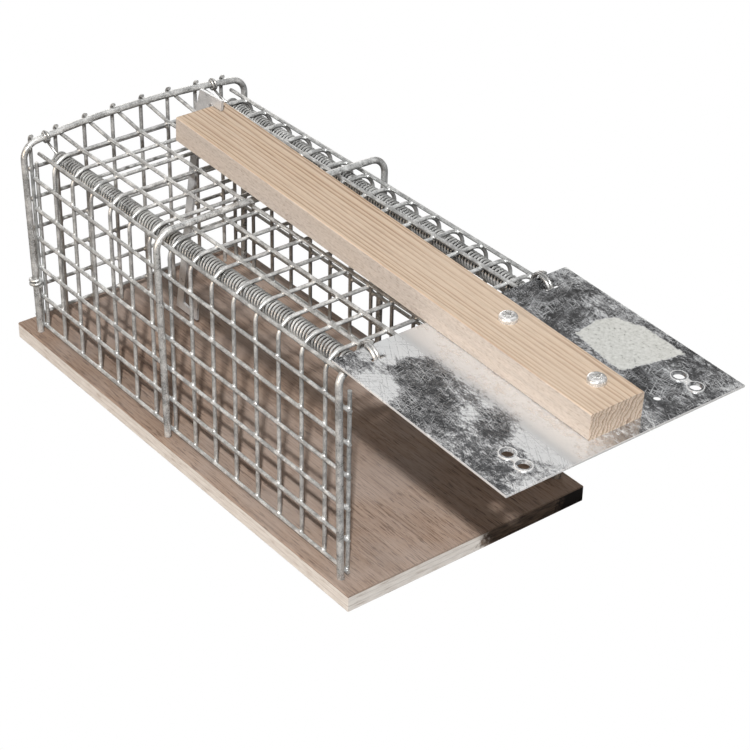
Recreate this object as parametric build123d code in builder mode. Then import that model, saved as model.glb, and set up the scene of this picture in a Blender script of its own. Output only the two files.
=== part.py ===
from build123d import *
import math
import os

# ------------------------------------------------------------------ driving dimensions, mm
# Frame: origin at the centre of the board's underside, +X to the door end, +Z up.

# base board
board_l = 211.0
board_w = 103.4
board_t = 6.4
board_ease = 0.3         # chamfer along the top edges
leg_clear = 0.15         # round a hoop leg in its hole

# welded mesh, half-inch pitch
cell = 12.7
mesh_r = 0.72            # wire radius
weld = 1.05              # distance between the centre planes of two crossing wires
cross_x0 = -95.4         # rearmost upright wire
cross_count = 16
wall_y = 44.1            # centre plane of the side walls' upright wires
wall_top = 78.0          # height at which the walls turn into the roof
bend_r = 6.5
roof_shift = -0.8        # the roof's long wires sit a little to the near side
first_long = 1.5         # lowest long wire above the board
wall_longs = 6
near_edge_angle = 35     # where the edge wire sits round the near bend, degrees
far_edge_angle = 55
long_rear = -96.2        # ends of the long wires
long_front = 97.0
wall_low_gap = 0.9       # between the board and the uprights' cut ends
bar_gap = 0.05           # between the roof wires' rear ends and the rear bar above them
bar_pass = 1.3           # how far they run on behind the bar
rise_r = 30              # bend where the roof's long wires start to rise to the bar
edge_room = 0.3          # between the edge wires' rear ends and the rear hoop
ring_room = 3.6          # between the roof wires' front ends and the hinge

# hoops
hoop_r = 1.25
foot_y = 47.7
top_y = 49.4
corner_r = 6.5
rear_hoop_x = -95.1
middle_hoop_x = -6.4
front_hoop_x = 96.2
rear_bar_z = 86.3        # bar height at its ends
rear_crown = 3.3         # how far the bar bows up in the middle
middle_bar_z = 89.2
middle_crown = 0.8
clinch_z = 1.4           # legs are bent over in grooves under the board
clinch_len = 7.6

# rear panel, behind the rear hoop
panel_y = (-45.2, -34.5, -22.0, -9.7, 3.0, 15.0, 27.7, 39.8)
panel_near = -47.5
panel_far = 46.5
panel_low_gap = 0.4
panel_rows = 6
panel_first = 5.7        # lowest cross wire above the board
panel_pitch = 12.55
panel_hook = 80          # how far each upright wraps over the bar, degrees
panel_clear = 0.13       # between the uprights and the bar

# wire tie on the rear near leg
tie_z = 28.5
tie_wire_r = 0.65
tie_pitch = 1.6
tie_turns = 2.0
tie_clear = 0.1          # between the tie and the leg

# door: plate, arm and rings turn together about the front hoop's bar
hinge_x = front_hoop_x
hinge_z = 88.4
door_y = -2.1
door_tilt = 2.43         # nose down, when set
plate_gap = 0.65         # between the bar and the plate
plate_t = 0.7
plate_rear = -2.3
plate_front = 80.0
plate_w = 96.8
arm_rear = -144.1
arm_front = 74.0
arm_w = 21.4
arm_t = 9.6
arm_y = -0.6
arm_ease = 0.4
ring_r = 4.95            # centre line of the hinge rings
ring_wire_r = 0.6
ring_turns = 2.0
ring_pitch = 1.3
near_ring_y = -35.6
far_ring_y = 36.2
screw_s = (21.7, 62.1)
screw_y = 1.6
screw_r = 1.6            # radius of the screw holes
screw_clear = 0.02
head_r = 3.2
head_h = 2.0
head_round = 1.2
recess_l = 3.8           # cross recess
recess_w = 1.0
recess_depth = 1.3
screw_tip = 1.0          # how far the screws stand out under the plate
ring_slot_l = 2.2        # slots in the plate for the hinge rings
ring_slot_w = 5.6
eyelet_s = (64.9, 72.1)
eyelet_y = 34.9
eyelet_r = 2.0
rim_w = 0.9              # raised rim round each pair of holes
rim_h = 0.35
waist_w = 2.4            # the rims of a pair run together at a waist
peg_hole = (69.4, 21.2)
peg_hole_r = 1.3

# springs
spring_r = 3.05          # centre line of the coils
spring_wire_r = 0.45
spring_sides = 8         # the long coils' wire is eight-sided, to keep their meshes light
spring_z = 80.15
spring_rear_x = -88.5
spring_front_x = 87.0
spring_rear_y = 38.3
spring_front_y = 36.3
spring_pitch = 1.55
eye_r = 1.95             # eye round the rear bar
eye_pitch = 1.25
near_eye_y = -39.9
far_eye_y = 34.3
eye_shift = -0.9
eye_turns = 1.5
lead_end = (-4.6, -4.4)  # where a spring meets its hinge ring, from the hinge
lead_slope = (0.6, 0, 0.8)

# trigger: one flat stamping on the fourth roof wire
trigger_y = 2.45
trigger_t = 1.0
pivot_x = cross_x0 + 3 * cell
pivot_z = wall_top + bend_r
pivot_clear = 0.1
lean = 0.188             # forward lean of the strip, mm per mm of height
strip_w = 4.2
strip_low = 9.6
strip_low_x = -73.5
hub_r = 2.9              # round the pivot
hook_under = 107.15
hook_top = 111.2
hook_tip_x = -40.8
hook_draft = 0.6         # slope of the hook's tip and back
hook_back_x = -54.6
shank_front = -48.6
shank_taper = 1.2
shank_low = 98.0
shank_foot = 90.0
toe_x = -61.6            # foot that holds the bait on its spike
toe_top = (-64.6, 12.2)
heel_z = 13.0
spike_rear = (-63.0, 18.6)
spike_tip = (-60.2, 20.4)

top = board_t
plate_n = hoop_r + plate_gap
door_plane = Plane(
    origin=(hinge_x, door_y, hinge_z),
    x_dir=(math.cos(math.radians(door_tilt)), 0, -math.sin(math.radians(door_tilt))),
    z_dir=(math.sin(math.radians(door_tilt)), 0, math.cos(math.radians(door_tilt))),
)


def cross_x(i):
    return cross_x0 + i * cell


def bar_z(y):
    """Height of the rear hoop's bowed bar at a given y."""
    bow_r = (top_y**2 + rear_crown**2) / (2 * rear_crown)
    return rear_bar_z + rear_crown - bow_r + math.sqrt(bow_r**2 - y**2)


# ------------------------------------------------------------------ base board
legs = [(x, side * foot_y) for x in (rear_hoop_x, middle_hoop_x, front_hoop_x) for side in (-1, 1)]


with BuildPart() as base_board:
    with BuildSketch():
        Rectangle(board_l, board_w)
    extrude(amount=board_t)
    with Locations(*[(x, y, board_t) for x, y in legs]):
        Hole(radius=hoop_r + leg_clear)
    for leg_x, leg_y in legs:
        inward = math.copysign(1, -leg_y)
        with BuildSketch():
            with Locations((leg_x, leg_y + inward * clinch_len / 2)):
                SlotCenterToCenter(clinch_len, 2 * (hoop_r + leg_clear), rotation=90)
        extrude(amount=clinch_z + hoop_r + leg_clear, mode=Mode.SUBTRACT)
    chamfer(base_board.edges().group_by(Axis.Z)[-1].filter_by(Axis.X), board_ease)
base_board.part.label = "base_board"


# ------------------------------------------------------------------ hoops
def build_hoop(x, corner_z, crown):
    """One bent wire: bar, two legs through the board, and their clinched ends."""
    with BuildPart() as hoop:
        with BuildLine(Plane.YZ.offset(x)) as path:
            Line((-foot_y, clinch_z), (-top_y, corner_z))
            if crown > 0:
                ThreePointArc((-top_y, corner_z), (0, corner_z + crown), (top_y, corner_z))
            else:
                Line((-top_y, corner_z), (top_y, corner_z))
            Line((top_y, corner_z), (foot_y, clinch_z))
            fillet(path.vertices().group_by(Axis.Z)[-1], corner_r)
        with BuildSketch(Plane(path.wires()[0] @ 0, z_dir=path.wires()[0] % 0)):
            Circle(hoop_r)
        sweep()
        for leg_y in (-foot_y, foot_y):
            inward = math.copysign(1, -leg_y)
            with Locations((x, leg_y, clinch_z)):
                Sphere(hoop_r)
            with BuildSketch(Plane((x, leg_y, clinch_z), z_dir=(0, inward, 0))):
                Circle(hoop_r)
            extrude(amount=clinch_len)
    return hoop.part


rear_hoop = build_hoop(rear_hoop_x, rear_bar_z, rear_crown)
rear_hoop.label = "rear_hoop"
middle_hoop = build_hoop(middle_hoop_x, middle_bar_z, middle_crown)
middle_hoop.label = "middle_hoop"
front_hoop = build_hoop(front_hoop_x, hinge_z, 0)
front_hoop.label = "front_hoop"


# ------------------------------------------------------------------ side walls of the mesh
def build_wall(side):
    """Upright wires inside, long wires welded to their outer face."""
    low = top + wall_low_gap
    with BuildPart() as wall:
        with BuildSketch(Plane((0, 0, low))):
            with Locations(*[(cross_x(i), side * wall_y) for i in range(cross_count)]):
                Circle(mesh_r)
        extrude(amount=wall_top - low)
        rows = [top + first_long + k * cell for k in range(wall_longs)]
        with BuildSketch(Plane.YZ.offset(long_rear)):
            with Locations(*[(side * (wall_y + weld), z) for z in rows]):
                Circle(mesh_r)
        extrude(amount=long_front - long_rear)
    return wall.part


near_wall_mesh = build_wall(-1)
near_wall_mesh.label = "near_wall_mesh"
far_wall_mesh = build_wall(1)
far_wall_mesh.label = "far_wall_mesh"

# ------------------------------------------------------------------ roof of the mesh
bend_y = wall_y - bend_r
roof_z = wall_top + bend_r
roof_rear = rear_hoop_x - bar_pass
roof_front = hinge_x - ring_room
edge_rear = rear_hoop_x + hoop_r + edge_room
roof_longs = 6


def edge_point(side, angle):
    """Centre of the edge wire, outside the bend."""
    reach = bend_r + weld
    return (
        side * (bend_y + reach * math.cos(math.radians(angle))),
        wall_top + reach * math.sin(math.radians(angle)),
    )


with BuildPart() as roof_mesh:
    for i in range(1, cross_count - 1):
        with BuildLine(Plane.YZ.offset(cross_x(i))) as bow:
            CenterArc((-bend_y, wall_top), bend_r, 180, -90)
            Line((-bend_y, roof_z), (bend_y, roof_z))
            CenterArc((bend_y, wall_top), bend_r, 90, -90)
        with BuildSketch(Plane((cross_x(i), -wall_y, wall_top))):
            Circle(mesh_r)
        sweep(path=bow.wires()[0])
    roof_mid = (roof_longs - 1) / 2
    for j in range(roof_longs):
        y = roof_shift + (j - roof_mid) * cell
        under_bar = bar_z(y) - hoop_r - mesh_r - bar_gap
        with BuildLine(Plane.XZ.offset(-y)) as long_wire:
            run = Polyline((roof_front, roof_z + weld), (cross_x(1), roof_z + weld), (roof_rear, under_bar))
            fillet(run.vertices().sort_by(Axis.X)[1], rise_r)
        with BuildSketch(Plane((roof_front, y, roof_z + weld), z_dir=(-1, 0, 0))):
            Circle(mesh_r)
        sweep(path=long_wire.wires()[0])
    with BuildSketch(Plane.YZ.offset(edge_rear)):
        with Locations(edge_point(-1, near_edge_angle), edge_point(1, far_edge_angle)):
            Circle(mesh_r)
    extrude(amount=roof_front - edge_rear)
roof_mesh.part.label = "roof_mesh"

# ------------------------------------------------------------------ rear panel, hooked over the rear bar
hook_r = hoop_r + mesh_r + panel_clear
panel_x = rear_hoop_x - hook_r
panel_low = top + panel_low_gap
with BuildPart() as rear_wall_mesh:
    for y in panel_y:
        bar = bar_z(y)
        with BuildLine(Plane.XZ.offset(-y)) as upright:
            Line((panel_x, panel_low), (panel_x, bar))
            CenterArc((rear_hoop_x, bar), hook_r, 180, -panel_hook)
        with BuildSketch(Plane((panel_x, y, panel_low))):
            Circle(mesh_r)
        sweep(path=upright.wires()[0])
    panel_heights = [top + panel_first + k * panel_pitch for k in range(panel_rows)]
    with BuildSketch(Plane.XZ.offset(-panel_near)):
        with Locations(*[(panel_x - weld, z) for z in panel_heights]):
            Circle(mesh_r)
    extrude(amount=panel_near - panel_far)
rear_wall_mesh.part.label = "rear_wall_mesh"


# ------------------------------------------------------------------ wire ties
def build_coil(centre, direction, radius, wire_r, pitch, turns):
    """A short close coil about a centre, wound along a direction."""
    axis = Vector(*direction).normalized()
    start = Vector(*centre) - axis * (pitch * turns / 2)
    with BuildPart() as coil:
        with BuildLine() as track:
            Helix(pitch, pitch * turns, radius, center=start, direction=axis)
        with BuildSketch(Plane(track.line @ 0, z_dir=track.line % 0)):
            Circle(wire_r)
        sweep(is_frenet=True)
    return coil.part


tie_y = -(foot_y + (top_y - foot_y) * (tie_z - clinch_z) / (rear_bar_z - clinch_z))
tie_r = hoop_r + tie_wire_r + tie_clear
rear_leg_tie = build_coil((rear_hoop_x, tie_y, tie_z), (0, 0, 1), tie_r, tie_wire_r, tie_pitch, tie_turns)
rear_leg_tie.label = "rear_leg_tie"


# ------------------------------------------------------------------ springs
def build_spring(side, eye_y):
    """Coils between an eye round the rear bar and a lead up to the hinge ring."""
    turns = round((spring_front_x - spring_rear_x) / spring_pitch)
    rear = Vector(spring_rear_x, side * spring_rear_y, spring_z)
    front = Vector(spring_front_x, side * spring_front_y, spring_z)
    run = front - rear
    ring_y = door_y + (near_ring_y if side < 0 else far_ring_y)
    eye_centre = (rear_hoop_x, eye_y + eye_shift, bar_z(eye_y))
    tip = (hinge_x + lead_end[0], ring_y, hinge_z + lead_end[1])
    with BuildPart() as spring:
        with BuildLine() as body:
            coils = Helix(run.length / turns, run.length, spring_r, center=rear, direction=run)
        with BuildLine() as eye:
            loop = Helix(eye_pitch, eye_turns * eye_pitch, eye_r, center=eye_centre, direction=(0, 1, 0))
        with BuildLine() as rear_lead:
            Spline(loop @ 1, coils @ 0, tangents=(loop % 1, coils % 0))
        with BuildLine() as front_lead:
            Spline(coils @ 1, tip, tangents=(coils % 1, lead_slope))
        with BuildSketch(Plane(body.line @ 0, z_dir=body.line % 0)):
            RegularPolygon(spring_wire_r, spring_sides)
        sweep(path=body.wires()[0], is_frenet=True)
        for track in (eye, rear_lead, front_lead):
            with BuildSketch(Plane(track.line @ 0, z_dir=track.line % 0)):
                Circle(spring_wire_r)
            sweep(path=track.wires()[0], is_frenet=track is eye)
    return spring.part


near_spring = build_spring(-1, near_eye_y)
near_spring.label = "near_spring"
far_spring = build_spring(1, far_eye_y)
far_spring.label = "far_spring"

# ------------------------------------------------------------------ door plate
eyelets = [(s, side * eyelet_y) for s in eyelet_s for side in (-1, 1)]
waists = [(sum(eyelet_s) / 2, side * eyelet_y) for side in (-1, 1)]
with BuildPart() as door_plate:
    with BuildSketch(door_plane.offset(plate_n)):
        with Locations(((plate_rear + plate_front) / 2, 0)):
            Rectangle(plate_front - plate_rear, plate_w)
        slot_s = math.sqrt(ring_r**2 - (plate_n + plate_t / 2) ** 2)
        with Locations((slot_s, near_ring_y), (slot_s, far_ring_y)):
            Rectangle(ring_slot_l, ring_slot_w, mode=Mode.SUBTRACT)
        with Locations(*eyelets):
            Circle(eyelet_r, mode=Mode.SUBTRACT)
        with Locations(peg_hole):
            Circle(peg_hole_r, mode=Mode.SUBTRACT)
        with Locations(*[(s, screw_y) for s in screw_s]):
            Circle(screw_r, mode=Mode.SUBTRACT)
    extrude(amount=plate_t)
    with BuildSketch(door_plane.offset(plate_n + plate_t)):
        with Locations(*waists):
            Rectangle(eyelet_s[1] - eyelet_s[0], waist_w)
        with Locations(*eyelets):
            Circle(eyelet_r + rim_w)
        with Locations(*eyelets):
            Circle(eyelet_r, mode=Mode.SUBTRACT)
    extrude(amount=rim_h)
door_plate.part.label = "door_plate"

# ------------------------------------------------------------------ wooden arm
arm_n = plate_n + plate_t
with BuildPart() as door_arm:
    with BuildSketch(door_plane.offset(arm_n)):
        with Locations(((arm_rear + arm_front) / 2, arm_y)):
            Rectangle(arm_front - arm_rear, arm_w)
    extrude(amount=arm_t)
    chamfer(door_arm.edges().filter_by(Axis((0, 0, 0), tuple(door_plane.x_dir))), arm_ease)
    with BuildSketch(door_plane.offset(arm_n)):
        with Locations(*[(s, screw_y) for s in screw_s]):
            Circle(screw_r)
    extrude(amount=arm_t, mode=Mode.SUBTRACT)
door_arm.part.label = "door_arm"

# ------------------------------------------------------------------ screws through arm and plate
arm_top = door_plane.offset(arm_n + arm_t)
with BuildPart() as arm_screws:
    with BuildSketch(arm_top):
        with Locations(*[(s, screw_y) for s in screw_s]):
            Circle(head_r)
    extrude(amount=head_h)
    rims = arm_screws.edges().filter_by(GeomType.CIRCLE).filter_by_position(
        Axis(tuple(arm_top.origin), tuple(arm_top.z_dir)), head_h / 2, 2 * head_h
    )
    fillet(rims, head_round)
    with BuildSketch(arm_top):
        with Locations(*[(s, screw_y) for s in screw_s]):
            Circle(screw_r - screw_clear)
    extrude(amount=-(arm_t + plate_t + screw_tip))
    with BuildSketch(arm_top.offset(head_h - recess_depth)):
        with Locations(*[(s, screw_y) for s in screw_s]):
            Rectangle(recess_l, recess_w)
            Rectangle(recess_w, recess_l)
    extrude(amount=recess_depth, mode=Mode.SUBTRACT)
arm_screws.part.label = "arm_screws"

# ------------------------------------------------------------------ hinge rings
near_hinge_ring = build_coil(
    (hinge_x, door_y + near_ring_y, hinge_z), (0, 1, 0), ring_r, ring_wire_r, ring_pitch, ring_turns
)
near_hinge_ring.label = "near_hinge_ring"
far_hinge_ring = build_coil(
    (hinge_x, door_y + far_ring_y, hinge_z), (0, 1, 0), ring_r, ring_wire_r, ring_pitch, ring_turns
)
far_hinge_ring.label = "far_hinge_ring"


# ------------------------------------------------------------------ trigger
def strip_x(z):
    return strip_low_x + lean * (z - strip_low)


half = strip_w / 2
with BuildPart() as trigger_plate:
    with BuildSketch(Plane.XZ.offset(-trigger_y)):
        with BuildLine():
            Polyline(
                (strip_x(strip_low) - half, strip_low),
                (strip_x(shank_low) - half, shank_low),
                (hook_back_x, hook_top - hook_draft),
                (hook_tip_x, hook_top),
                (hook_tip_x - hook_draft, hook_under),
                (shank_front, hook_under),
                (shank_front - shank_taper, shank_low),
                (strip_x(shank_foot) + half, shank_foot),
                (strip_x(heel_z) + half, heel_z),
                toe_top,
                spike_rear,
                spike_tip,
                (toe_x, strip_low),
                close=True,
            )
        make_face()
        with Locations((pivot_x, pivot_z)):
            Circle(hub_r)
            Circle(mesh_r + pivot_clear, mode=Mode.SUBTRACT)
    extrude(amount=trigger_t / 2, both=True)
trigger_plate.part.label = "trigger_plate"

# ------------------------------------------------------------------ files
parts = [
    base_board.part,
    rear_hoop,
    middle_hoop,
    front_hoop,
    near_wall_mesh,
    roof_mesh.part,
    far_wall_mesh,
    rear_wall_mesh.part,
    rear_leg_tie,
    near_spring,
    far_spring,
    door_plate.part,
    door_arm.part,
    arm_screws.part,
    near_hinge_ring,
    far_hinge_ring,
    trigger_plate.part,
]
os.makedirs("parts", exist_ok=True)
for piece in parts:
    export_step(piece, f"parts/{piece.label}.step")
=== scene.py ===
"""Looks for the live catch trap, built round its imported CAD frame. Metres, in the CAD's row frame."""
import math
import random

import bmesh
import bpy
from mathutils import Matrix, Vector, noise


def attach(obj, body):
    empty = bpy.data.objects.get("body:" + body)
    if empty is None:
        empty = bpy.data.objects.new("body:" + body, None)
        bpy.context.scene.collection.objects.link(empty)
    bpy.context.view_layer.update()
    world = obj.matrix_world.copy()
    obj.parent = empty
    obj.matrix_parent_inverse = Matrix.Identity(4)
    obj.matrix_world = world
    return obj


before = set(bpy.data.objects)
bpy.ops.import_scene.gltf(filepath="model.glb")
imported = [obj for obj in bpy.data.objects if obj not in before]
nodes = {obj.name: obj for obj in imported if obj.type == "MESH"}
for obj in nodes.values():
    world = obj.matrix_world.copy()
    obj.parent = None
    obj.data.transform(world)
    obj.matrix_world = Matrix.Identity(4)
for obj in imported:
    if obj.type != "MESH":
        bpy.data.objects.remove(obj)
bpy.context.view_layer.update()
MM = 0.001
random.seed(7)

# from the CAD: the door's hinge, and how far its plate leans nose down when set
HINGE = Vector((96.2, -2.1, 88.4)) * MM
DOOR_TILT = math.radians(2.43)

CAMERA_AT = (0.54386, -0.39226, 0.45158)
CAMERA_TURN = (57.082, -0.991, 52.055)  # degrees
LENS_MM = 104.66
SENSOR_MM = 36.0

CENTRE = Vector((0.02, 0.0, 0.04))
KEY_FROM = Vector((0.58, -0.463, 0.671))
KEY_REACH = 2.0
WORLD_STOPS = ((0.0, (0.13, 0.10, 0.08)), (0.62, (0.085, 0.085, 0.085)), (1.0, (0.85, 0.85, 0.86)))
WORLD_STRENGTH = 0.8


# ------------------------------------------------------------------ camera and light
def add_camera():
    data = bpy.data.cameras.new("camera")
    data.lens = LENS_MM
    data.sensor_width = SENSOR_MM
    data.clip_start = 0.05
    data.clip_end = 20.0
    cam = bpy.data.objects.new("camera", data)
    cam.location = CAMERA_AT
    cam.rotation_euler = [math.radians(turn) for turn in CAMERA_TURN]
    bpy.context.scene.collection.objects.link(cam)
    bpy.context.scene.camera = cam


def add_area(name, position, size_x, size_y, power, color):
    """A rectangular light aimed at the middle of the trap."""
    data = bpy.data.lights.new(name, "AREA")
    data.shape = "RECTANGLE"
    data.size = size_x
    data.size_y = size_y
    data.energy = power
    data.color = color
    lamp = bpy.data.objects.new(name, data)
    lamp.location = position
    aim = CENTRE - Vector(position)
    lamp.rotation_euler = aim.to_track_quat("-Z", "Y").to_euler()
    bpy.context.scene.collection.objects.link(lamp)


def add_world():
    """Dark in the middle, so that polished metal has dark parts, and white to the camera."""
    world = bpy.data.worlds.new("studio")
    bpy.context.scene.world = world
    world.use_nodes = True
    tree = world.node_tree
    background = tree.nodes["Background"]
    coord = tree.nodes.new("ShaderNodeTexCoord")
    split = tree.nodes.new("ShaderNodeSeparateXYZ")
    ramp = tree.nodes.new("ShaderNodeValToRGB")
    tree.links.new(coord.outputs["Generated"], split.inputs[0])
    tree.links.new(split.outputs["Z"], ramp.inputs[0])
    tree.links.new(ramp.outputs["Color"], background.inputs["Color"])
    ramp.color_ramp.elements.new(0.5)
    for element, (position, color) in zip(ramp.color_ramp.elements, WORLD_STOPS):
        element.position = position
        element.color = (*color, 1)
    background.inputs["Strength"].default_value = WORLD_STRENGTH
    backdrop = tree.nodes.new("ShaderNodeBackground")
    backdrop.inputs["Color"].default_value = (1, 1, 1, 1)
    paths = tree.nodes.new("ShaderNodeLightPath")
    seen = tree.nodes.new("ShaderNodeMixShader")
    tree.links.new(paths.outputs["Is Camera Ray"], seen.inputs[0])
    tree.links.new(background.outputs[0], seen.inputs[1])
    tree.links.new(backdrop.outputs[0], seen.inputs[2])
    tree.links.new(seen.outputs[0], tree.nodes["World Output"].inputs["Surface"])


add_camera()
add_world()
add_area("key", CENTRE + KEY_FROM * KEY_REACH, 0.06, 0.06, 51.0, (0.985, 0.99, 1.0))
add_area("fill", (0.2, -1.3, 0.35), 1.0, 0.6, 8.0, (1.0, 0.80, 0.63))
add_area("back", (-1.4, 0.7, 0.5), 1.0, 0.6, 5.0, (1.0, 0.97, 0.94))
bpy.context.scene.view_settings.view_transform = "Standard"


# ------------------------------------------------------------------ material helper
class Shader:
    """Builds one material's nodes, in the object's own coordinates."""

    def __init__(self, name):
        self.material = bpy.data.materials.new(name)
        self.material.use_nodes = True
        self.tree = self.material.node_tree
        self.bsdf = self.tree.nodes["Principled BSDF"]
        self.coord = self.tree.nodes.new("ShaderNodeTexCoord").outputs["Object"]

    def link(self, source, socket):
        if isinstance(source, (int, float, tuple, list)):
            socket.default_value = source
        else:
            self.tree.links.new(source, socket)

    def map(self, vector, location=(0, 0, 0), rotation=(0, 0, 0), scale=(1, 1, 1)):
        node = self.tree.nodes.new("ShaderNodeMapping")
        self.link(vector, node.inputs["Vector"])
        node.inputs["Location"].default_value = location
        node.inputs["Rotation"].default_value = rotation
        node.inputs["Scale"].default_value = scale
        return node.outputs[0]

    def noise(self, scale, detail=3.0, rough=0.5, vector=None, distortion=0.0):
        node = self.tree.nodes.new("ShaderNodeTexNoise")
        self.link(self.coord if vector is None else vector, node.inputs["Vector"])
        node.inputs["Scale"].default_value = scale
        node.inputs["Detail"].default_value = detail
        node.inputs["Roughness"].default_value = rough
        node.inputs["Distortion"].default_value = distortion
        return node.outputs["Fac"]

    def math(self, operation, a, b=0.0, clamp=False):
        node = self.tree.nodes.new("ShaderNodeMath")
        node.operation = operation
        node.use_clamp = clamp
        self.link(a, node.inputs[0])
        self.link(b, node.inputs[1])
        return node.outputs[0]

    def add(self, a, b, clamp=False):
        return self.math("ADD", a, b, clamp)

    def sub(self, a, b):
        return self.math("SUBTRACT", a, b)

    def mul(self, a, b):
        return self.math("MULTIPLY", a, b)

    def larger(self, a, b):
        return self.math("MAXIMUM", a, b)

    def centred(self, value):
        """A noise value moved to lie evenly about zero."""
        return self.sub(value, 0.5)

    def split(self, vector):
        node = self.tree.nodes.new("ShaderNodeSeparateXYZ")
        self.link(vector, node.inputs[0])
        return node.outputs

    def ramp(self, factor, stops):
        node = self.tree.nodes.new("ShaderNodeValToRGB")
        while len(node.color_ramp.elements) < len(stops):
            node.color_ramp.elements.new(0.5)
        for element, (position, color) in zip(node.color_ramp.elements, stops):
            element.position = position
            if isinstance(color, (int, float)):
                color = (color, color, color)
            element.color = (*color, 1)
        self.link(factor, node.inputs[0])
        return node.outputs["Color"]

    def step(self, value, low, high):
        """0 below low, 1 above high; the other way round if low > high."""
        node = self.tree.nodes.new("ShaderNodeMapRange")
        node.interpolation_type = "SMOOTHSTEP"
        self.link(value, node.inputs["Value"])
        start, end = (0.0, 1.0) if low < high else (1.0, 0.0)
        node.inputs["From Min"].default_value = min(low, high)
        node.inputs["From Max"].default_value = max(low, high)
        node.inputs["To Min"].default_value = start
        node.inputs["To Max"].default_value = end
        return node.outputs["Result"]

    def blend(self, factor, a, b, kind="MIX"):
        """Mixes two colours."""
        node = self.tree.nodes.new("ShaderNodeMix")
        node.data_type = "RGBA"
        node.blend_type = kind
        first, second = [socket for socket in node.inputs if socket.type == "RGBA"]
        self.link(factor, node.inputs[0])
        self.link((*a, 1) if isinstance(a, tuple) else a, first)
        self.link((*b, 1) if isinstance(b, tuple) else b, second)
        return [socket for socket in node.outputs if socket.type == "RGBA"][0]

    def bump(self, height, strength, distance):
        node = self.tree.nodes.new("ShaderNodeBump")
        node.inputs["Strength"].default_value = strength
        node.inputs["Distance"].default_value = distance
        self.link(height, node.inputs["Height"])
        self.tree.links.new(node.outputs[0], self.bsdf.inputs["Normal"])

    def set(self, **sockets):
        for name, value in sockets.items():
            self.link(value, self.bsdf.inputs[name.replace("_", " ")])


# the long coils' axes, from the CAD: distance from the middle plane at x = 0, its slope, height, and reach
COIL_Y = 37.3 * MM
COIL_SLOPE = 2.0 / 175.5
COIL_Z = 80.15 * MM
COIL_END = 86.0 * MM


def coil_inner_shade(s):
    """Painted shade: darker inside the long coils, where the turns shade each other; the two springs mirror
    each other.
    """
    x, y, z = s.split(s.coord)
    axis_y = s.sub(COIL_Y, s.mul(x, COIL_SLOPE))
    dy = s.sub(s.math("ABSOLUTE", y), axis_y)
    dz = s.sub(z, COIL_Z)
    reach = s.math("SQRT", s.add(s.mul(dy, dy), s.mul(dz, dz)))
    inner = s.step(reach, 3.12 * MM, 2.85 * MM)
    body = s.step(s.math("ABSOLUTE", x), COIL_END + 0.5 * MM, COIL_END - 0.5 * MM)
    return s.ramp(s.mul(inner, body), [(0.0, 1.0), (1.0, 0.10)])


def galvanised(name, dark, light, patch_mm, rough, metallic, bump=0.25, shade_coil_inside=False):
    """Zinc-coated wire: dull grey and whitish patches, fine pits, and painted shade on what faces down."""
    s = Shader(name)
    patches = s.noise(1 / (patch_mm * MM), detail=5.0, rough=0.65)
    grain = s.noise(1 / (0.5 * MM), detail=3.0, rough=0.6)
    tone = s.add(s.mul(patches, 0.6), s.mul(grain, 0.4))
    middle = tuple((a + b) / 2 for a, b in zip(dark, light))
    color = s.ramp(tone, [(0.36, dark), (0.50, middle), (0.62, light)])
    # painted shade: the colour darkens the more the surface faces down, as undersides out of the light do
    up = s.split(s.tree.nodes.new("ShaderNodeNewGeometry").outputs["Normal"])[2]
    facing_up = s.add(s.mul(up, 0.5), 0.5)
    underside_shade = s.ramp(facing_up, [(0.12, 0.12), (0.45, 0.70), (0.65, 1.0)])
    color = s.blend(1.0, color, underside_shade, "MULTIPLY")
    # painted shade inside the long coils
    if shade_coil_inside:
        color = s.blend(1.0, color, coil_inner_shade(s), "MULTIPLY")
    s.set(Base_Color=color)
    s.set(Metallic=s.ramp(tone, [(0.42, metallic), (0.62, metallic * 0.7)]))
    s.set(Roughness=s.ramp(patches, [(0.35, rough[0]), (0.65, rough[1])]))
    s.bump(tone, bump, 0.15 * MM)
    return s.material


def door_coords(s):
    """Coordinates along the door: x forward from the hinge, y across, z up from the hinge, in metres."""
    shifted = s.map(s.coord, location=tuple(-HINGE))
    return s.map(shifted, rotation=(0, -DOOR_TILT, 0))


# from the CAD, in the door's coordinates
PLATE_TOP = 2.6 * MM
PLATE_SIDE = 48.4 * MM
PLATE_FRONT = 80.0 * MM
ARM_TOP = 12.2 * MM
ARM_X = (-144.1 * MM, 74.0 * MM)

RING_GAP = 1.62 * MM
PITH = (74 * MM, -30 * MM)  # the middle of the tree, beside and below the arm
PINE_RINGS = (
    (0.0, (0.53, 0.415, 0.305)),
    (0.50, (0.48, 0.36, 0.255)),
    (0.76, (0.29, 0.18, 0.105)),
    (0.90, (0.19, 0.11, 0.065)),
    (1.0, (0.53, 0.415, 0.305)),
)
PINE_SAWN = ((0.34, (0.31, 0.27, 0.24)), (0.46, (0.45, 0.41, 0.375)), (0.66, (0.51, 0.475, 0.44)))
PINE_END = (
    (0.0, (0.64, 0.53, 0.43)),
    (0.6, (0.54, 0.43, 0.33)),
    (0.9, (0.30, 0.20, 0.14)),
    (1.0, (0.64, 0.53, 0.43)),
)


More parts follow.
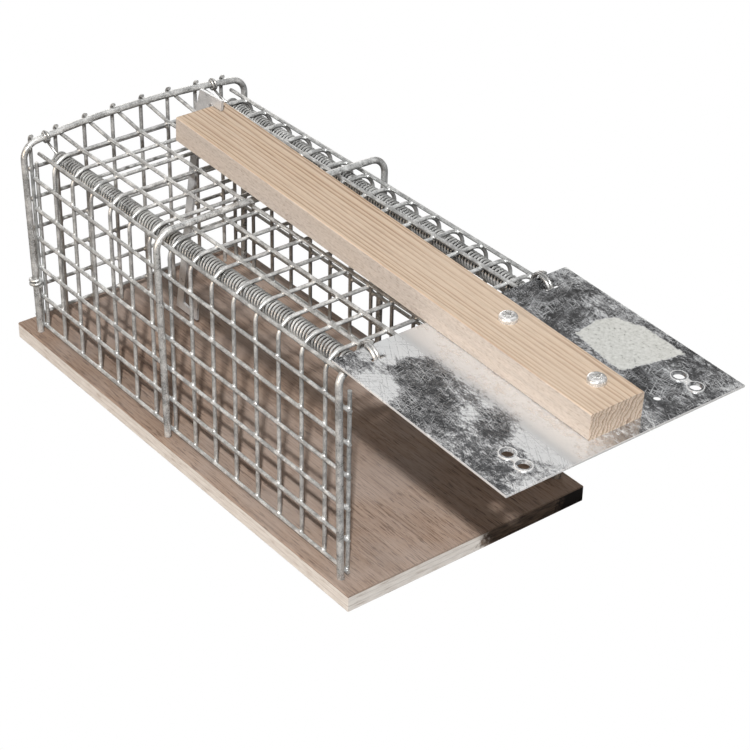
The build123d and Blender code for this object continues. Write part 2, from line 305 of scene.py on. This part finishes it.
def pine():
    """Planed on top, sawn at the sides, with growth rings that show at the ends."""
    s = Shader("pine")
    p = door_coords(s)
    x, y, z = s.split(p)
    sway = s.noise(1.0, detail=3.0, rough=0.6, vector=s.map(p, scale=(6.0, 110.0, 110.0)))
    dy = s.sub(y, PITH[0])
    dz = s.sub(z, PITH[1])
    reach = s.math("SQRT", s.add(s.mul(dy, dy), s.mul(dz, dz)))
    reach = s.add(reach, s.mul(s.centred(sway), 3.2 * MM))
    gaps = s.noise(1.0, detail=2.0, rough=0.6, vector=s.map(p, scale=(2.0, 230.0, 230.0)))
    reach = s.add(reach, s.mul(s.centred(gaps), 3.6 * MM))
    rings = s.math("FRACT", s.math("DIVIDE", reach, RING_GAP))
    strength = s.noise(1.0, detail=3.0, rough=0.6, vector=s.map(p, scale=(22.0, 420.0, 420.0)))
    fibre = s.noise(1.0, detail=6.0, rough=0.75, vector=s.map(p, scale=(150.0, 3200.0, 3200.0)))
    fleck = s.noise(1.0, detail=4.0, rough=0.7, vector=s.map(p, scale=(500.0, 1500.0, 1500.0)))
    broad = s.noise(1.0, detail=4.0, vector=s.map(p, scale=(16.0, 70.0, 70.0)))
    # rings on the planed top
    wood = s.ramp(rings, PINE_RINGS)
    wood = s.blend(s.ramp(strength, [(0.34, 0.70), (0.46, 0.0)]), wood, (0.52, 0.415, 0.315))
    towards_front = s.mul(s.step(x, -120 * MM, 0.0), 0.30)
    fade = s.add(s.ramp(broad, [(0.35, 0.0), (0.65, 0.40)]), towards_front, clamp=True)
    faded = s.blend(fade, wood, (0.535, 0.435, 0.34))
    # greyer sawn sides
    sawn = s.ramp(fleck, PINE_SAWN)
    sawn = s.blend(s.ramp(broad, [(0.3, 0.0), (0.7, 0.30)]), sawn, (0.50, 0.41, 0.32))
    sawn = s.blend(0.10, sawn, wood)
    on_top = s.step(z, ARM_TOP - 0.5 * MM, ARM_TOP - 0.1 * MM)
    color = s.blend(on_top, sawn, faded)
    # rough end grain
    end = s.ramp(rings, PINE_END)
    pore = s.noise(2400.0, detail=4.0, rough=0.7)
    end = s.blend(1.0, end, s.ramp(pore, [(0.35, 0.55), (0.6, 1.1)]), "MULTIPLY")
    front_end = s.step(x, ARM_X[1] - 0.15 * MM, ARM_X[1] - 0.05 * MM)
    rear_end = s.step(x, ARM_X[0] + 0.15 * MM, ARM_X[0] + 0.05 * MM)
    at_end = s.larger(front_end, rear_end)
    color = s.blend(at_end, color, end)
    # fine fibres
    shade = s.ramp(fibre, [(0.3, 0.80), (0.5, 1.0), (0.7, 1.12)])
    color = s.blend(1.0, color, shade, "MULTIPLY")
    s.set(Base_Color=color, Roughness=s.ramp(fibre, [(0.3, 0.85), (0.7, 0.65)]))
    s.bump(s.add(s.mul(rings, -0.5), s.add(fibre, fleck)), 0.45, 0.15 * MM)
    return s.material


# from the CAD
BOARD_TOP = 6.4 * MM
BOARD_FRONT = 105.5 * MM
PLY = 2.13 * MM

VENEER = ((0.34, (0.13, 0.078, 0.053)), (0.46, (0.268, 0.193, 0.144)), (0.64, (0.335, 0.258, 0.204)))
VENEER_CLOUDS = ((0.35, (0.77, 0.725, 0.695)), (0.65, (1.11, 1.09, 1.08)))
PLY_EDGE = ((0.3, (0.38, 0.32, 0.27)), (0.42, (0.60, 0.56, 0.515)), (0.7, (0.735, 0.705, 0.665)))
PLY_BROWN = ((0.35, (0.05, 0.035, 0.028)), (0.6, (0.22, 0.165, 0.125)))


def board_wood():
    """Three-ply with a brown veneer on top, and a front edge that darkens to brown and then black towards
    its far end.
    """
    s = Shader("plywood")
    x, y, z = s.split(s.coord)
    fibre = s.noise(1.0, detail=6.0, rough=0.8, vector=s.map(s.coord, scale=(30.0, 1300.0, 1300.0)))
    pores = s.noise(1.0, detail=3.0, rough=0.6, vector=s.map(s.coord, scale=(160.0, 1900.0, 1900.0)))
    broad = s.noise(1.0, detail=5.0, rough=0.6, vector=s.map(s.coord, scale=(12.0, 60.0, 60.0)))
    stain = s.noise(26.0, detail=5.0, rough=0.65)
    veneer = s.ramp(fibre, VENEER)
    veneer = s.blend(s.ramp(pores, [(0.36, 0.8), (0.45, 0.0)]), veneer, (0.085, 0.05, 0.035))
    veneer = s.blend(1.0, veneer, s.ramp(broad, VENEER_CLOUDS), "MULTIPLY")
    face = s.blend(s.ramp(stain, [(0.42, 0.0), (0.62, 0.35)]), veneer, (0.36, 0.31, 0.28))
    # plies at the edges
    ply_noise = s.noise(1.0, detail=5.0, rough=0.7, vector=s.map(s.coord, scale=(160.0, 160.0, 1100.0)))
    cream = s.ramp(ply_noise, PLY_EDGE)
    through_ply = s.math("FRACT", s.math("DIVIDE", z, PLY))
    glue_lines = s.ramp(through_ply, [(0.0, 0.72), (0.08, 1.0), (0.9, 1.0), (1.0, 0.72)])
    cream = s.blend(1.0, cream, glue_lines, "MULTIPLY")
    # the front edge turns brown and then black towards the far corner
    frayed = s.mul(s.centred(s.noise(300.0, detail=6.0, rough=0.8)), 22 * MM)
    at_front = s.step(x, BOARD_FRONT - 0.6 * MM, BOARD_FRONT - 0.2 * MM)
    browned = s.mul(at_front, s.step(s.add(y, frayed), 4 * MM, 8 * MM))
    cream = s.blend(browned, cream, s.ramp(ply_noise, PLY_BROWN))
    spread = s.add(s.add(y, s.mul(stain, 16 * MM)), frayed)
    blackened = s.mul(s.step(spread, 46 * MM, 50 * MM), s.step(x, 98 * MM, 102 * MM))
    cream = s.blend(blackened, cream, (0.012, 0.010, 0.009))
    on_face = s.step(z, BOARD_TOP - 0.75 * MM, BOARD_TOP - 0.55 * MM)
    color = s.blend(on_face, cream, face)
    s.set(Base_Color=color, Roughness=s.ramp(fibre, [(0.3, 0.85), (0.7, 0.65)]))
    s.bump(s.add(fibre, pores), 0.4, 0.15 * MM)
    return s.material


# corners of the pale patch on the plate, millimetres from the hinge and from the door's middle
PATCH = ((29.1, 24.5), (27.2, 35.6), (29.4, 41.3), (38.7, 45.0), (57.3, 45.1), (52.6, 22.2), (45.4, 22.2))
PATCH_STOPS = ((0.34, (0.10, 0.098, 0.09)), (0.385, (0.42, 0.42, 0.39)), (0.62, (0.56, 0.56, 0.53)))


def inside(s, x, y, corners, ragged, soft):
    """1 inside a convex polygon, in millimetres on the door's plane, with a ragged edge."""
    nearest = None
    for (ax, ay), (bx, by) in zip(corners, corners[1:] + corners[:1]):
        length = math.hypot(bx - ax, by - ay)
        nx, ny = (by - ay) / length, -(bx - ax) / length
        offset = (nx * ax + ny * ay) * MM
        side = s.sub(s.add(s.mul(x, nx), s.mul(y, ny)), offset)
        nearest = side if nearest is None else s.math("MINIMUM", nearest, side)
    return s.step(s.add(nearest, ragged), -soft, soft)


# scratches: direction in degrees, how close together along and across it, and how rare
WHITE_SCRATCHES = (
    (14, 70.0, 3300.0, 0.62),
    (-34, 110.0, 4100.0, 0.62),
    (58, 90.0, 3700.0, 0.63),
    (-8, 150.0, 4600.0, 0.61),
    (80, 120.0, 4100.0, 0.63),
)
DARK_SCRATCHES = ((31, 60.0, 2200.0, 0.62), (-52, 90.0, 2700.0, 0.63), (5, 70.0, 3100.0, 0.62))


def scuffs(s, p, sets):
    """Fine straight scratches in several directions: 1 on a scratch, 0 off it."""
    marks = None
    for turn, along, across, cut in sets:
        turned = s.map(p, rotation=(0, 0, math.radians(turn)))
        lines = s.noise(1.0, detail=0.0, rough=0.5, vector=s.map(turned, scale=(along, across, 1.0)))
        mark = s.step(lines, cut, cut + 0.07)
        marks = mark if marks is None else s.larger(marks, mark)
    return marks


# dulled (+) and polished (-) areas: centre and size in millimetres on the door's plane, and how much
WORN = (
    ((2, -27), (13, 13), 0.13),
    ((17, -46), (10, 7), 0.13),
    ((62, -23), (16, 8), 0.11),
    ((45, -33), (9, 7), 0.05),
    ((78, -32), (9, 22), 0.05),
    ((20, -30), (11, 9), -0.12),
    ((33, -40), (16, 10), -0.09),
    ((52, -28), (9, 8), -0.12),
    ((9, 30), (18, 13), -0.09),
    ((63, 25), (12, 9), -0.08),
)


# middles of the rimmed holes, from the CAD, in millimetres
EYELETS = ((64.9, -34.9), (72.1, -34.9), (64.9, 34.9), (72.1, 34.9))


def spot(s, x, y, centre, radius):
    """1 at the centre of a soft oval, 0 outside it; millimetres."""
    dx = s.math("DIVIDE", s.sub(x, centre[0] * MM), radius[0] * MM)
    dy = s.math("DIVIDE", s.sub(y, centre[1] * MM), radius[1] * MM)
    return s.step(s.add(s.mul(dx, dx), s.mul(dy, dy)), 1.4, 0.0)


def plate_sheet():
    """Bright sheet, dulled, scratched and rubbed, with a pale patch, and painted highlights on the rims and
    edges.
    """
    s = Shader("galvanised_sheet")
    p = door_coords(s)
    x, y, z = s.split(p)
    streaked = s.map(p, scale=(0.55, 1.0, 1.0))
    mottle = s.noise(400.0, detail=9.0, rough=0.85, distortion=0.15, vector=streaked)
    cloud = s.noise(60.0, detail=5.0, rough=0.6, vector=p)
    speck = s.noise(2200.0, detail=3.0, rough=0.7, vector=p)
    scratches = scuffs(s, p, WHITE_SCRATCHES)
    darker = scuffs(s, p, DARK_SCRATCHES)
    # handling has dulled some areas and polished others
    tone = s.add(s.mul(mottle, 0.7), s.mul(cloud, 0.3))
    for centre, radius, amount in WORN:
        tone = s.add(tone, s.mul(spot(s, x, y, centre, radius), amount))
    beside = s.mul(s.step(y, -25 * MM, -20 * MM), s.step(y, 0.0, -10 * MM))
    tone = s.add(tone, s.mul(beside, 0.04))
    dull = s.step(tone, 0.45, 0.585)
    rubbed = s.ramp(s.noise(130.0, detail=4.0, rough=0.6, vector=p), [(0.40, 0.12), (0.60, 0.75)])
    marked = s.sub(1.0, s.mul(beside, 0.7))
    dull = s.larger(dull, s.mul(s.mul(scratches, rubbed), marked))
    dull = s.sub(dull, s.mul(s.mul(darker, marked), 0.22))
    grit = s.mul(s.centred(speck), s.mul(marked, 0.55))
    dull = s.add(dull, grit, clamp=True)
    even = s.ramp(beside, [(0.0, 0.0), (1.0, 0.65)])
    dull = s.add(s.mul(dull, s.sub(1.0, even)), s.mul(even, 0.22))
    polished = s.blend(beside, (0.50, 0.51, 0.525), (0.86, 0.87, 0.88))
    metal = s.blend(dull, polished, (0.60, 0.61, 0.61))
    ragged = s.mul(s.centred(s.noise(700.0, detail=6.0, rough=0.75, vector=p)), 3.5 * MM)
    patch = inside(s, x, y, PATCH, ragged, 0.35 * MM)
    cream = s.ramp(s.noise(900.0, detail=5.0, rough=0.75, vector=p), PATCH_STOPS)
    # painted highlights on the cut edges and on the outer part of the rims
    lip = None
    for centre in EYELETS:
        near = spot(s, x, y, centre, (2.35, 2.35))
        lip = near if lip is None else s.larger(lip, near)
    raised = s.step(z, PLATE_TOP + 0.03 * MM, PLATE_TOP + 0.08 * MM)
    rim_highlight = s.mul(raised, s.step(lip, 0.09, 0.05))
    side_edge = s.step(s.math("ABSOLUTE", y), PLATE_SIDE - 0.3 * MM, PLATE_SIDE - 0.1 * MM)
    front_edge = s.step(x, PLATE_FRONT - 0.3 * MM, PLATE_FRONT - 0.1 * MM)
    painted_highlight = s.larger(s.larger(rim_highlight, side_edge), front_edge)
    dull = s.larger(dull, s.mul(painted_highlight, 0.75))
    s.set(Base_Color=s.blend(patch, s.blend(painted_highlight, metal, (0.80, 0.80, 0.79)), cream))
    clear = s.sub(1.0, s.mul(dull, 0.80))
    s.set(Metallic=s.mul(clear, s.sub(1.0, patch)))
    rough = s.add(0.10, s.mul(dull, 0.22))
    s.set(Roughness=s.larger(rough, s.mul(patch, 0.75)))
    relief = s.add(s.mul(scratches, -0.5), s.mul(patch, 1.5))
    s.bump(relief, 0.25, 0.08 * MM)
    return s.material


# name: dark, light, size of the patches in mm, then roughness, metal and bump
wire_zinc = galvanised(
    "mesh_zinc", (0.42, 0.425, 0.42), (0.84, 0.845, 0.825), 3.5, rough=(0.28, 0.46), metallic=0.7
)
# painted shade: a darker copy of the mesh zinc for the far wall, which lies in the arm's shade
painted_shade_zinc = galvanised(
    "painted_shade_zinc", (0.28, 0.285, 0.28), (0.62, 0.625, 0.61), 3.5, rough=(0.28, 0.46), metallic=0.7
)
hoop_zinc = galvanised(
    "hoop_zinc", (0.36, 0.365, 0.36), (0.92, 0.925, 0.905), 5.0, rough=(0.22, 0.40), metallic=0.65
)
ring_zinc = galvanised(
    "ring_zinc", (0.40, 0.40, 0.39), (0.80, 0.80, 0.78), 12.0, rough=(0.22, 0.36), metallic=0.75, bump=0.05
)
# the springs get painted shade inside their coils
spring_zinc = galvanised(
    "spring_zinc", (0.34, 0.34, 0.33), (0.74, 0.74, 0.72), 12.0, rough=(0.22, 0.36), metallic=0.75,
    bump=0.05, shade_coil_inside=True,
)
trigger_zinc = galvanised(
    "trigger_zinc", (0.56, 0.575, 0.585), (0.86, 0.87, 0.88), 9.0, rough=(0.25, 0.45), metallic=0.42,
    bump=0.1,
)
screw_zinc = galvanised(
    "screw_zinc", (0.72, 0.715, 0.70), (0.97, 0.965, 0.95), 2.0, rough=(0.18, 0.32), metallic=0.7, bump=0.05
)
looks = {
    "base_board": board_wood(),
    "rear_hoop": hoop_zinc,
    "middle_hoop": hoop_zinc,
    "front_hoop": hoop_zinc,
    "near_wall_mesh": wire_zinc,
    "roof_mesh": wire_zinc,
    "far_wall_mesh": painted_shade_zinc,
    "rear_wall_mesh": wire_zinc,
    "rear_leg_tie": hoop_zinc,
    "near_spring": spring_zinc,
    "far_spring": spring_zinc,
    "near_hinge_ring": ring_zinc,
    "far_hinge_ring": ring_zinc,
    "door_plate": plate_sheet(),
    "door_arm": pine(),
    "arm_screws": screw_zinc,
    "trigger_plate": trigger_zinc,
}
for name, material in looks.items():
    mesh = nodes[name].data
    mesh.materials.clear()
    mesh.materials.append(material)


# ------------------------------------------------------------------ weld nuggets
# from the CAD, millimetres
CELL = 12.7
ROWS = 6
UPRIGHTS = [-95.4 + i * CELL for i in range(16)]
WALL_Y = 44.62
WALL_Z = 7.9
ROOF_Y = -32.55
ROOF_Z = 85.02
BEND_Y = 37.6
BEND_Z = 78.0
BEND_REACH = 7.02
EDGE_TURNS = ((-1, 35), (1, 55))  # side, and where the edge wire sits round the bend, in degrees
PANEL_X = -97.72
PANEL_Y = (-45.2, -34.5, -22.0, -9.7, 3.0, 15.0, 27.7, 39.8)
PANEL_Z = 12.1
PANEL_PITCH = 12.55

# half sizes of a nugget that is thin along x, y or z
THIN_X = (0.92, 1.25, 1.25)
THIN_Y = (1.25, 0.92, 1.25)
THIN_Z = (1.25, 1.25, 0.92)


def weld_places():
    """Where the mesh's wires cross: each place, and the nugget's half sizes; millimetres."""
    for x in UPRIGHTS:
        for side in (-1, 1):
            for row in range(ROWS):
                yield (x, side * WALL_Y, WALL_Z + row * CELL), THIN_Y
    for x in UPRIGHTS[1:-1]:
        for row in range(ROWS):
            yield (x, ROOF_Y + row * CELL, ROOF_Z), THIN_Z
        for side, turn in EDGE_TURNS:
            out = BEND_REACH * math.cos(math.radians(turn))
            up = BEND_REACH * math.sin(math.radians(turn))
            yield (x, side * (BEND_Y + out), BEND_Z + up), THIN_Z
    for y in PANEL_Y:
        for row in range(ROWS):
            yield (PANEL_X, y, PANEL_Z + row * PANEL_PITCH), THIN_X


def add_nuggets():
    """A small uneven lump at every crossing, all in one piece."""
    build = bmesh.new()
    for centre, halves in weld_places():
        blob = bmesh.ops.create_icosphere(build, subdivisions=2, radius=1.0)["verts"]
        grow = random.uniform(0.85, 1.1)
        tilt = Matrix.Rotation(random.uniform(-0.4, 0.4), 3, Vector(halves))
        for vert in blob:
            local = Vector(tuple(a * b for a, b in zip(vert.co, halves)))
            lump = 1 + 0.06 * noise.noise(local * 1.3 + Vector(centre))
            vert.co = (Vector(centre) + tilt @ local * grow * lump) * MM
    mesh = bpy.data.meshes.new("weld_nuggets")
    build.to_mesh(mesh)
    build.free()
    mesh.shade_smooth()
    mesh.materials.append(wire_zinc)
    piece = bpy.data.objects.new("weld_nuggets", mesh)
    bpy.context.scene.collection.objects.link(piece)
    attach(piece, "cage")


add_nuggets()


# ------------------------------------------------------------------ floor
FLOOR_HALF = 6.0
FLOOR_DROP = 0.0002


def add_floor():
    """White to the camera, and grey in what the metal reflects."""
    mesh = bpy.data.meshes.new("floor")
    corners = [(x * FLOOR_HALF, y * FLOOR_HALF, 0) for x, y in ((-1, -1), (1, -1), (1, 1), (-1, 1))]
    mesh.from_pydata(corners, [], [(0, 1, 2, 3)])
    floor = bpy.data.objects.new("floor", mesh)
    floor.location.z = -FLOOR_DROP
    bpy.context.scene.collection.objects.link(floor)
    s = Shader("floor_white")
    tree = s.tree
    paths = tree.nodes.new("ShaderNodeLightPath")
    glow = tree.nodes.new("ShaderNodeEmission")
    glow.inputs["Color"].default_value = (1, 1, 1, 1)
    glow.inputs["Strength"].default_value = 1.0
    shades = tree.nodes.new("ShaderNodeMixShader")
    s.set(Base_Color=(0.12, 0.12, 0.12, 1), Roughness=0.8)
    tree.links.new(paths.outputs["Is Camera Ray"], shades.inputs[0])
    tree.links.new(s.bsdf.outputs[0], shades.inputs[1])
    tree.links.new(glow.outputs[0], shades.inputs[2])
    tree.links.new(shades.outputs[0], tree.nodes["Material Output"].inputs["Surface"])
    mesh.materials.append(s.material)


add_floor()
